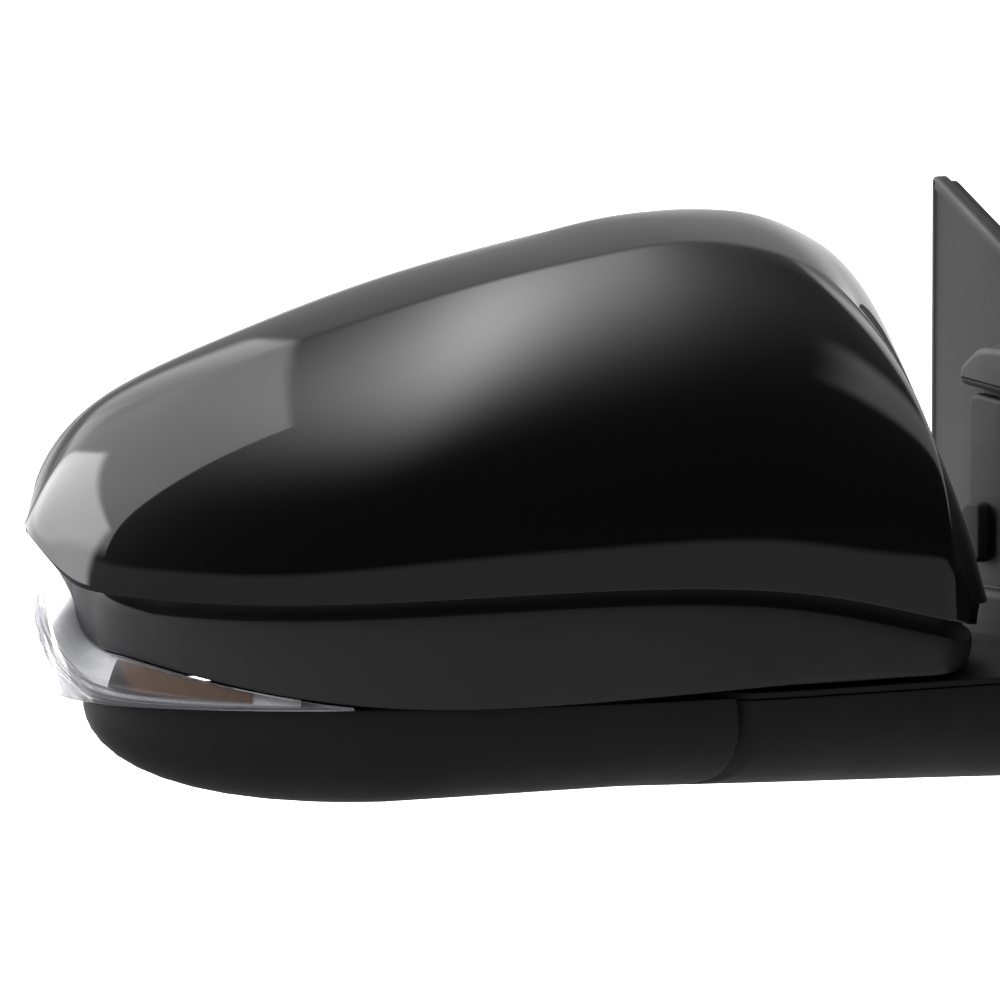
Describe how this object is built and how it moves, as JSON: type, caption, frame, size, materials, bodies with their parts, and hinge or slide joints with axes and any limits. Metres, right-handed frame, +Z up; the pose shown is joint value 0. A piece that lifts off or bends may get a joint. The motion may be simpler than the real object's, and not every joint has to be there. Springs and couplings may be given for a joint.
{
  "type": "car side mirror",
  "caption": "Folding door mirror for a car's right side: painted cap, wrap-round turn lamp, powered tilting glass, and a foot with a triangular sail that bolts to the door.",
  "frame": {"origin": "centre of the flat face that bolts to the door", "axes": "+X inboard, out of the mounting face into the door; +Y rearward, the way the glass faces; +Z up"},
  "size_m": [0.3342, 0.188, 0.1641],
  "materials": {
    "gloss_paint": "gloss black paint under clear coat",
    "satin_plastic": "satin black moulded plastic",
    "grained_plastic": "fine-grained black moulded plastic",
    "seal_rubber": "matt black rubber",
    "cast_metal": "as-cast, dull",
    "plated_steel": "zinc plated",
    "spring_steel": "oiled spring steel",
    "clear_lens": "clear polished polycarbonate",
    "lamp_chrome": "vacuum metallised",
    "amber_light_guide": "amber translucent",
    "gear_plastic": "natural acetal",
    "worm_brass": "turned",
    "motor_can": "drawn steel can",
    "heater_foil": "printed heater film",
    "mirror_glass": "silvered glass, slightly blue"
  },
  "bodies": {
    "foot": {"base_bracket": "cast_metal", "foot_cover": "grained_plastic", "foot_top": "grained_plastic", "sail_cover": "grained_plastic", "sail_seal": "seal_rubber", "fold_buffer": "seal_rubber", "stud_1": "plated_steel", "stud_2": "plated_steel", "stud_3": "plated_steel", "harness_grommet": "seal_rubber", "pivot_post": "plated_steel", "detent_ring": "plated_steel", "fold_spring": "spring_steel", "spring_retainer": "plated_steel"},
    "head": {"head_frame": "cast_metal", "cap": "gloss_paint", "trim_band": "satin_plastic", "rear_bezel": "satin_plastic", "lower_cover": "grained_plastic", "lamp_lens": "clear_lens", "lamp_reflector": "lamp_chrome", "lamp_strip": "amber_light_guide", "actuator_base": "satin_plastic", "actuator_housing": "satin_plastic", "actuator_screw_1": "plated_steel", "actuator_screw_2": "plated_steel", "actuator_screw_3": "plated_steel", "motor_vertical": "motor_can", "motor_horizontal": "motor_can"},
    "gimbal": {"gimbal_ring": "gear_plastic"},
    "glass": {"glass_carrier": "satin_plastic", "glass_heater": "heater_foil", "mirror_glass": "mirror_glass"},
    "plunger_v": {"plunger_vertical": "gear_plastic"},
    "plunger_h": {"plunger_horizontal": "gear_plastic"},
    "gear_v": {"gear_vertical": "gear_plastic"},
    "gear_h": {"gear_horizontal": "gear_plastic"},
    "worm_v": {"worm_vertical": "worm_brass"},
    "worm_h": {"worm_horizontal": "worm_brass"}
  },
  "joints": [
    {"name": "fold", "type": "hinge", "parent": "foot", "child": "head", "pos_m": [-0.105, 0, 0], "axis": [0, 0, -1], "range_deg": [-50, 60]},
    {"name": "tilt_vertical", "type": "hinge", "parent": "head", "child": "gimbal", "pos_m": [-0.172, 0.037, 0.022], "axis": [1, 0, 0], "range_deg": [-7, 7]},
    {"name": "tilt_horizontal", "type": "hinge", "parent": "gimbal", "child": "glass", "pos_m": [-0.172, 0.037, 0.022], "axis": [0, 0, 1], "range_deg": [-7, 7]},
    {"name": "plunger_v_slide", "type": "slide", "parent": "head", "child": "plunger_v", "axis": [0, 1, 0], "range_m": [-0.00299, 0.00299]},
    {"name": "plunger_h_slide", "type": "slide", "parent": "head", "child": "plunger_h", "axis": [0, 1, 0], "range_m": [-0.00299, 0.00299]},
    {"name": "gear_v_spin", "type": "hinge", "parent": "head", "child": "gear_v", "pos_m": [-0.172, 0.025, 0.046], "axis": [0, 1, 0], "range_deg": [-179.4, 179.4]},
    {"name": "gear_h_spin", "type": "hinge", "parent": "head", "child": "gear_h", "pos_m": [-0.196, 0.025, 0.022], "axis": [0, 1, 0], "range_deg": [-179.4, 179.4]},
    {"name": "worm_v_spin", "type": "hinge", "parent": "head", "child": "worm_v", "pos_m": [-0.172, 0.0249, 0.0344], "axis": [1, 0, 0], "range_deg": [-1615, 1615]},
    {"name": "worm_h_spin", "type": "hinge", "parent": "head", "child": "worm_h", "pos_m": [-0.1844, 0.0249, 0.022], "axis": [0, 0, 1], "range_deg": [-1615, 1615]}
  ],
  "couplings": [
    {"joint": "plunger_v_slide", "follows": "tilt_vertical", "m_per_rad": -0.024},
    {"joint": "plunger_h_slide", "follows": "tilt_horizontal", "m_per_rad": -0.024},
    {"joint": "gear_v_spin", "follows": "tilt_vertical", "ratio": -25.133},
    {"joint": "gear_h_spin", "follows": "tilt_horizontal", "ratio": -25.133},
    {"joint": "worm_v_spin", "follows": "tilt_vertical", "ratio": 226.19},
    {"joint": "worm_h_spin", "follows": "tilt_horizontal", "ratio": 226.19}
  ]
}
